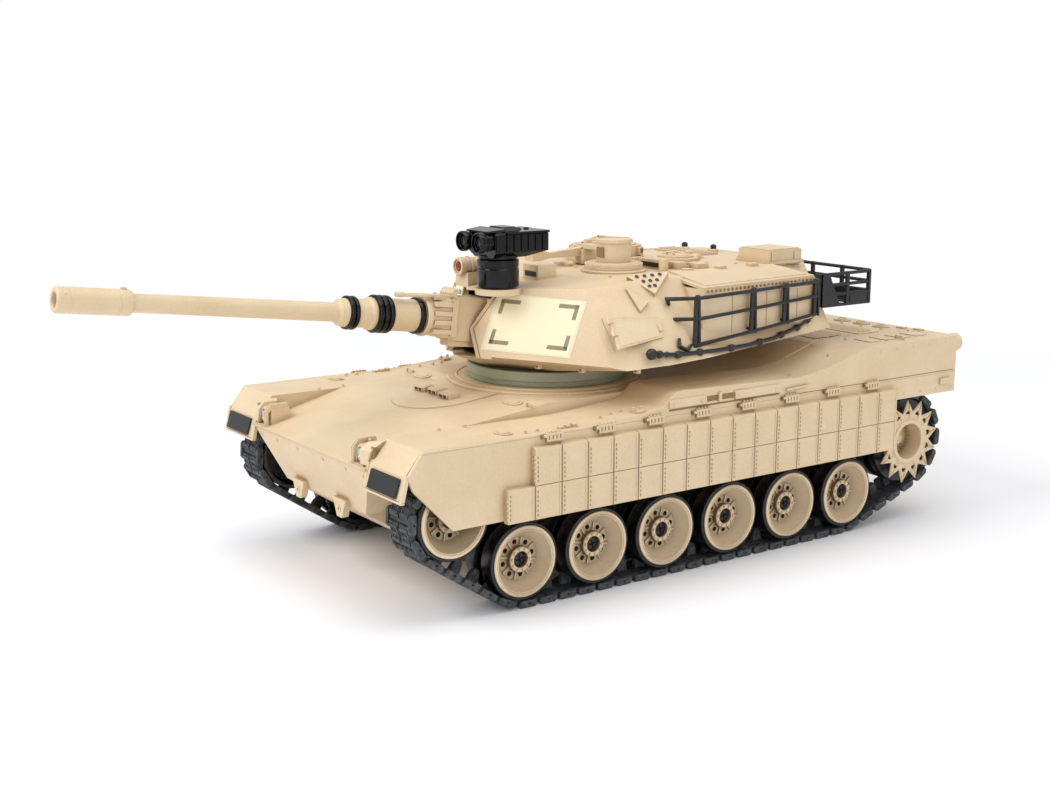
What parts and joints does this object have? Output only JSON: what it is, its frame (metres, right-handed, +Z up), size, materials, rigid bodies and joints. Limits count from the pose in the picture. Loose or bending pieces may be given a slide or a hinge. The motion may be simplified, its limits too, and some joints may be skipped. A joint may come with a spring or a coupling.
{
  "type": "radio-controlled model tank",
  "caption": "Sand-coloured radio-controlled battle tank model: turning turret, elevating gun, running tracks with road wheels, side armour and stowage racks.",
  "frame": {"origin": "on the ground at the centre of the bounding box: on the centreline, midway between the gun muzzle and the tail lamps", "axes": "+Z up, -Y towards the front of the tank, +X towards the tank's left side"},
  "size_m": [0.203, 0.5124, 0.1815],
  "materials": {
    "sand_plastic": "fine satin sand-coloured moulded plastic",
    "black_plastic": "satin black moulded plastic",
    "grey_plastic": "plain moulded plastic",
    "gloss_black": "polished black plastic",
    "track_rubber": "dull charcoal moulded rubber",
    "turntable_plastic": "grey-green moulded plastic",
    "steel": "plain steel",
    "black_steel": "blackened steel",
    "clear_lens": "clear moulded lens",
    "battery_wrap": "heat-shrink wrap",
    "circuit_board": "solder-masked board"
  },
  "bodies": {
    "hull": {"battery_pack": "battery_wrap", "control_board": "circuit_board", "drive_motors": "steel", "gearboxes": "grey_plastic", "headlamp_lenses": "clear_lens", "lower_hull": "sand_plastic", "mud_flaps": "black_plastic", "side_skirt_left": "sand_plastic", "side_skirt_right": "sand_plastic", "track_left": "track_rubber", "track_right": "track_rubber", "upper_hull": "sand_plastic", "wheel_axles": "steel", "wheel_screws": "black_steel"},
    "turret": {"turret_shell": "sand_plastic", "turret_base": "turntable_plastic", "side_racks": "black_plastic", "rear_basket": "black_plastic", "tow_cables": "black_plastic", "smoke_launchers": "sand_plastic", "traverse_motor": "steel", "sight_base": "gloss_black"},
    "gun": {"mantlet": "sand_plastic", "gun_barrel": "sand_plastic", "barrel_bands": "gloss_black"},
    "sight": {"sight_unit": "gloss_black"},
    "commander_hatch_lid": {"commander_hatch": "sand_plastic"},
    "loader_hatch_lid": {"loader_hatch": "sand_plastic"},
    "battery_door": {"battery_cover": "black_plastic"},
    "switch_knob": {"power_switch": "black_plastic"},
    "sprocket_body_left": {"sprocket_left": "sand_plastic"},
    "idler_left": {"idler_wheel_left": "black_plastic", "idler_disc_left": "sand_plastic"},
    "road_1_left": {"road_1_wheel_left": "black_plastic", "road_1_disc_left": "sand_plastic"},
    "road_2_left": {"road_2_wheel_left": "black_plastic", "road_2_disc_left": "sand_plastic"},
    "road_3_left": {"road_3_wheel_left": "black_plastic", "road_3_disc_left": "sand_plastic"},
    "road_4_left": {"road_4_wheel_left": "black_plastic", "road_4_disc_left": "sand_plastic"},
    "road_5_left": {"road_5_wheel_left": "black_plastic", "road_5_disc_left": "sand_plastic"},
    "road_6_left": {"road_6_wheel_left": "black_plastic", "road_6_disc_left": "sand_plastic"},
    "sprocket_body_right": {"sprocket_right": "sand_plastic"},
    "idler_right": {"idler_wheel_right": "black_plastic", "idler_disc_right": "sand_plastic"},
    "road_1_right": {"road_1_wheel_right": "black_plastic", "road_1_disc_right": "sand_plastic"},
    "road_2_right": {"road_2_wheel_right": "black_plastic", "road_2_disc_right": "sand_plastic"},
    "road_3_right": {"road_3_wheel_right": "black_plastic", "road_3_disc_right": "sand_plastic"},
    "road_4_right": {"road_4_wheel_right": "black_plastic", "road_4_disc_right": "sand_plastic"},
    "road_5_right": {"road_5_wheel_right": "black_plastic", "road_5_disc_right": "sand_plastic"},
    "road_6_right": {"road_6_wheel_right": "black_plastic", "road_6_disc_right": "sand_plastic"}
  },
  "joints": [
    {"name": "turret_traverse", "type": "hinge", "parent": "hull", "child": "turret", "pos_m": [0, 0.01818, 0.0998], "axis": [0, 0, 1], "range_deg": [-160, 160]},
    {"name": "gun_elevation", "type": "hinge", "parent": "turret", "child": "gun", "pos_m": [0, -0.01582, 0.12885], "axis": [-1, 0, 0], "range_deg": [-9, 5], "stiffness_Nm_per_rad": 2},
    {"name": "sight_swivel", "type": "hinge", "parent": "turret", "child": "sight", "pos_m": [0.02, -0.02782, 0.1645], "axis": [0, 0, 1], "range_deg": [-90, 90]},
    {"name": "commander_hatch_hinge", "type": "hinge", "parent": "turret", "child": "commander_hatch_lid", "pos_m": [-0.024, 0.09418, 0.1638], "axis": [-1, 0, 0], "range_deg": [0, 85]},
    {"name": "loader_hatch_hinge", "type": "hinge", "parent": "turret", "child": "loader_hatch_lid", "pos_m": [0.022, 0.10818, 0.1573], "axis": [-1, 0, 0], "range_deg": [0, 85]},
    {"name": "battery_door_slide", "type": "slide", "parent": "hull", "child": "battery_door", "axis": [0, 1, 0], "range_m": [0, 0.012]},
    {"name": "power_switch_slide", "type": "slide", "parent": "hull", "child": "switch_knob", "axis": [1, 0, 0], "range_m": [0, 0.005]},
    {"name": "sprocket_spin_left", "type": "hinge", "parent": "hull", "child": "sprocket_body_left", "pos_m": [0.082, 0.21318, 0.048], "axis": [1, 0, 0], "continuous": true},
    {"name": "idler_spin_left", "type": "hinge", "parent": "hull", "child": "idler_left", "pos_m": [0.082, -0.10292, 0.0517], "axis": [1, 0, 0], "continuous": true},
    {"name": "road_1_spin_left", "type": "hinge", "parent": "hull", "child": "road_1_left", "pos_m": [0.082, -0.06222, 0.0246], "axis": [1, 0, 0], "continuous": true},
    {"name": "road_2_spin_left", "type": "hinge", "parent": "hull", "child": "road_2_left", "pos_m": [0.082, -0.01722, 0.0246], "axis": [1, 0, 0], "continuous": true},
    {"name": "road_3_spin_left", "type": "hinge", "parent": "hull", "child": "road_3_left", "pos_m": [0.082, 0.02778, 0.0246], "axis": [1, 0, 0], "continuous": true},
    {"name": "road_4_spin_left", "type": "hinge", "parent": "hull", "child": "road_4_left", "pos_m": [0.082, 0.07278, 0.0246], "axis": [1, 0, 0], "continuous": true},
    {"name": "road_5_spin_left", "type": "hinge", "parent": "hull", "child": "road_5_left", "pos_m": [0.082, 0.11778, 0.0246], "axis": [1, 0, 0], "continuous": true},
    {"name": "road_6_spin_left", "type": "hinge", "parent": "hull", "child": "road_6_left", "pos_m": [0.082, 0.16278, 0.0246], "axis": [1, 0, 0], "continuous": true},
    {"name": "sprocket_spin_right", "type": "hinge", "parent": "hull", "child": "sprocket_body_right", "pos_m": [-0.082, 0.21318, 0.048], "axis": [1, 0, 0], "continuous": true},
    {"name": "idler_spin_right", "type": "hinge", "parent": "hull", "child": "idler_right", "pos_m": [-0.082, -0.10292, 0.0517], "axis": [1, 0, 0], "continuous": true},
    {"name": "road_1_spin_right", "type": "hinge", "parent": "hull", "child": "road_1_right", "pos_m": [-0.082, -0.06222, 0.0246], "axis": [1, 0, 0], "continuous": true},
    {"name": "road_2_spin_right", "type": "hinge", "parent": "hull", "child": "road_2_right", "pos_m": [-0.082, -0.01722, 0.0246], "axis": [1, 0, 0], "continuous": true},
    {"name": "road_3_spin_right", "type": "hinge", "parent": "hull", "child": "road_3_right", "pos_m": [-0.082, 0.02778, 0.0246], "axis": [1, 0, 0], "continuous": true},
    {"name": "road_4_spin_right", "type": "hinge", "parent": "hull", "child": "road_4_right", "pos_m": [-0.082, 0.07278, 0.0246], "axis": [1, 0, 0], "continuous": true},
    {"name": "road_5_spin_right", "type": "hinge", "parent": "hull", "child": "road_5_right", "pos_m": [-0.082, 0.11778, 0.0246], "axis": [1, 0, 0], "continuous": true},
    {"name": "road_6_spin_right", "type": "hinge", "parent": "hull", "child": "road_6_right", "pos_m": [-0.082, 0.16278, 0.0246], "axis": [1, 0, 0], "continuous": true}
  ],
  "couplings": [
    {"joint": "idler_spin_left", "follows": "sprocket_spin_left", "ratio": 1.245},
    {"joint": "road_1_spin_left", "follows": "sprocket_spin_left", "ratio": 1.245},
    {"joint": "road_2_spin_left", "follows": "sprocket_spin_left", "ratio": 1.245},
    {"joint": "road_3_spin_left", "follows": "sprocket_spin_left", "ratio": 1.245},
    {"joint": "road_4_spin_left", "follows": "sprocket_spin_left", "ratio": 1.245},
    {"joint": "road_5_spin_left", "follows": "sprocket_spin_left", "ratio": 1.245},
    {"joint": "road_6_spin_left", "follows": "sprocket_spin_left", "ratio": 1.245},
    {"joint": "idler_spin_right", "follows": "sprocket_spin_right", "ratio": 1.245},
    {"joint": "road_1_spin_right", "follows": "sprocket_spin_right", "ratio": 1.245},
    {"joint": "road_2_spin_right", "follows": "sprocket_spin_right", "ratio": 1.245},
    {"joint": "road_3_spin_right", "follows": "sprocket_spin_right", "ratio": 1.245},
    {"joint": "road_4_spin_right", "follows": "sprocket_spin_right", "ratio": 1.245},
    {"joint": "road_5_spin_right", "follows": "sprocket_spin_right", "ratio": 1.245},
    {"joint": "road_6_spin_right", "follows": "sprocket_spin_right", "ratio": 1.245}
  ]
}
